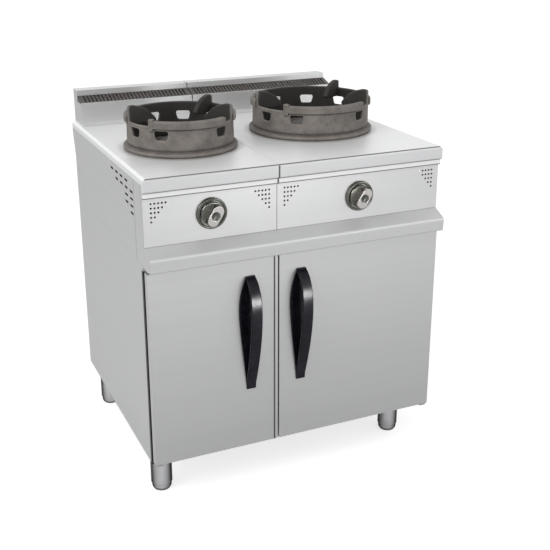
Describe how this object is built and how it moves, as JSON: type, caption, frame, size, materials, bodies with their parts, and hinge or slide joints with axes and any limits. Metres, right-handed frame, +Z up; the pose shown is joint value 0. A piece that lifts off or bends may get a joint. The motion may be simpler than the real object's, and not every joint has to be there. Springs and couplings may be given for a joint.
{
  "type": "wok range",
  "caption": "Free-standing stainless gas wok range with hinged cabinet doors, lift-off cast-iron wok rings, push-and-turn knobs, adjustable feet and a slotted rear flue riser.",
  "frame": {"origin": "centre of the bounding box at floor level", "axes": "+Z up, -Y the front with the doors and knobs, +X to the right as the cook sees it"},
  "size_m": [0.8, 0.748, 0.9733],
  "materials": {
    "stainless": "brushed stainless, fine horizontal grain",
    "stainless_inner": "dull stainless sheet",
    "cast_iron": "rough grey-brown casting",
    "brass": "machined",
    "gunmetal": "dark glossy ring",
    "chrome": "polished",
    "black_plastic": "glossy black moulding",
    "polished_steel": "polished stainless tube",
    "gas_pipe": "grey painted pipe",
    "catch_plastic": "pale moulded block with magnets"
  },
  "bodies": {
    "base": {"apron": "stainless", "bulkhead": "stainless_inner", "burner_deck": "stainless_inner", "burner_feed_left": "brass", "burner_feed_right": "brass", "burner_left": "cast_iron", "burner_right": "cast_iron", "cabinet_back": "stainless_inner", "cabinet_divider": "stainless_inner", "cabinet_floor": "stainless_inner", "cabinet_side_left": "stainless", "cabinet_side_right": "stainless", "door_catch": "catch_plastic", "drip_bowl_left": "stainless", "drip_bowl_right": "stainless", "fascia_left": "stainless", "fascia_right": "stainless", "flue_left": "stainless", "flue_right": "stainless", "gas_manifold": "gas_pipe", "gas_valve_left": "brass", "gas_valve_right": "brass", "hinge_lower_left": "stainless_inner", "hinge_lower_right": "stainless_inner", "hinge_upper_left": "stainless_inner", "hinge_upper_right": "stainless_inner", "knob_bezel_left": "gunmetal", "knob_bezel_right": "gunmetal", "leg_sleeve_front_left": "polished_steel", "leg_sleeve_front_right": "polished_steel", "leg_sleeve_rear_left": "polished_steel", "leg_sleeve_rear_right": "polished_steel", "pilot_left": "brass", "pilot_right": "brass", "upper_back": "stainless_inner", "upper_side_left": "stainless", "upper_side_right": "stainless", "worktop_left": "stainless", "worktop_right": "stainless"},
    "door_left": {"door_skin_left": "stainless", "door_liner_left": "stainless_inner", "handle_left": "black_plastic"},
    "plug_left": {"valve_plug_left": "brass"},
    "knob_left": {"knob_left": "chrome", "valve_stem_left": "brass"},
    "ring_left": {"wok_ring_left": "cast_iron"},
    "cap_left": {"burner_cap_left": "cast_iron"},
    "door_right": {"door_skin_right": "stainless", "door_liner_right": "stainless_inner", "handle_right": "black_plastic"},
    "plug_right": {"valve_plug_right": "brass"},
    "knob_right": {"knob_right": "chrome", "valve_stem_right": "brass"},
    "ring_right": {"wok_ring_right": "cast_iron"},
    "cap_right": {"burner_cap_right": "cast_iron"},
    "foot_front_left": {"foot_front_left": "polished_steel"},
    "foot_front_right": {"foot_front_right": "polished_steel"},
    "foot_rear_left": {"foot_rear_left": "polished_steel"},
    "foot_rear_right": {"foot_rear_right": "polished_steel"}
  },
  "joints": [
    {"name": "door_left_hinge", "type": "hinge", "parent": "base", "child": "door_left", "pos_m": [-0.388, -0.316, 0.37], "axis": [0, 0, -1], "range_deg": [0, 110]},
    {"name": "door_right_hinge", "type": "hinge", "parent": "base", "child": "door_right", "pos_m": [0.388, -0.316, 0.37], "axis": [0, 0, 1], "range_deg": [0, 110]},
    {"name": "knob_left_turn", "type": "hinge", "parent": "base", "child": "plug_left", "pos_m": [-0.232, -0.266, 0.756], "axis": [0, -1, 0], "range_deg": [0, 210]},
    {"name": "knob_left_push", "type": "slide", "parent": "plug_left", "child": "knob_left", "axis": [0, 1, 0], "range_m": [0, 0.004], "stiffness_N_per_m": 1200, "springref_m": -0.002},
    {"name": "knob_right_turn", "type": "hinge", "parent": "base", "child": "plug_right", "pos_m": [0.166, -0.266, 0.751], "axis": [0, -1, 0], "range_deg": [0, 210]},
    {"name": "knob_right_push", "type": "slide", "parent": "plug_right", "child": "knob_right", "axis": [0, 1, 0], "range_m": [0, 0.004], "stiffness_N_per_m": 1200, "springref_m": -0.002},
    {"name": "ring_left_lift", "type": "slide", "parent": "base", "child": "ring_left", "axis": [0, 0, 1], "range_m": [0, 0.15]},
    {"name": "cap_left_lift", "type": "slide", "parent": "base", "child": "cap_left", "axis": [0, 0, 1], "range_m": [0, 0.05]},
    {"name": "ring_right_lift", "type": "slide", "parent": "base", "child": "ring_right", "axis": [0, 0, 1], "range_m": [0, 0.15]},
    {"name": "cap_right_lift", "type": "slide", "parent": "base", "child": "cap_right", "axis": [0, 0, 1], "range_m": [0, 0.05]},
    {"name": "foot_front_left_screw", "type": "slide", "parent": "base", "child": "foot_front_left", "axis": [0, 0, -1], "range_m": [0, 0.025]},
    {"name": "foot_front_right_screw", "type": "slide", "parent": "base", "child": "foot_front_right", "axis": [0, 0, -1], "range_m": [0, 0.025]},
    {"name": "foot_rear_left_screw", "type": "slide", "parent": "base", "child": "foot_rear_left", "axis": [0, 0, -1], "range_m": [0, 0.025]},
    {"name": "foot_rear_right_screw", "type": "slide", "parent": "base", "child": "foot_rear_right", "axis": [0, 0, -1], "range_m": [0, 0.025]}
  ]
}
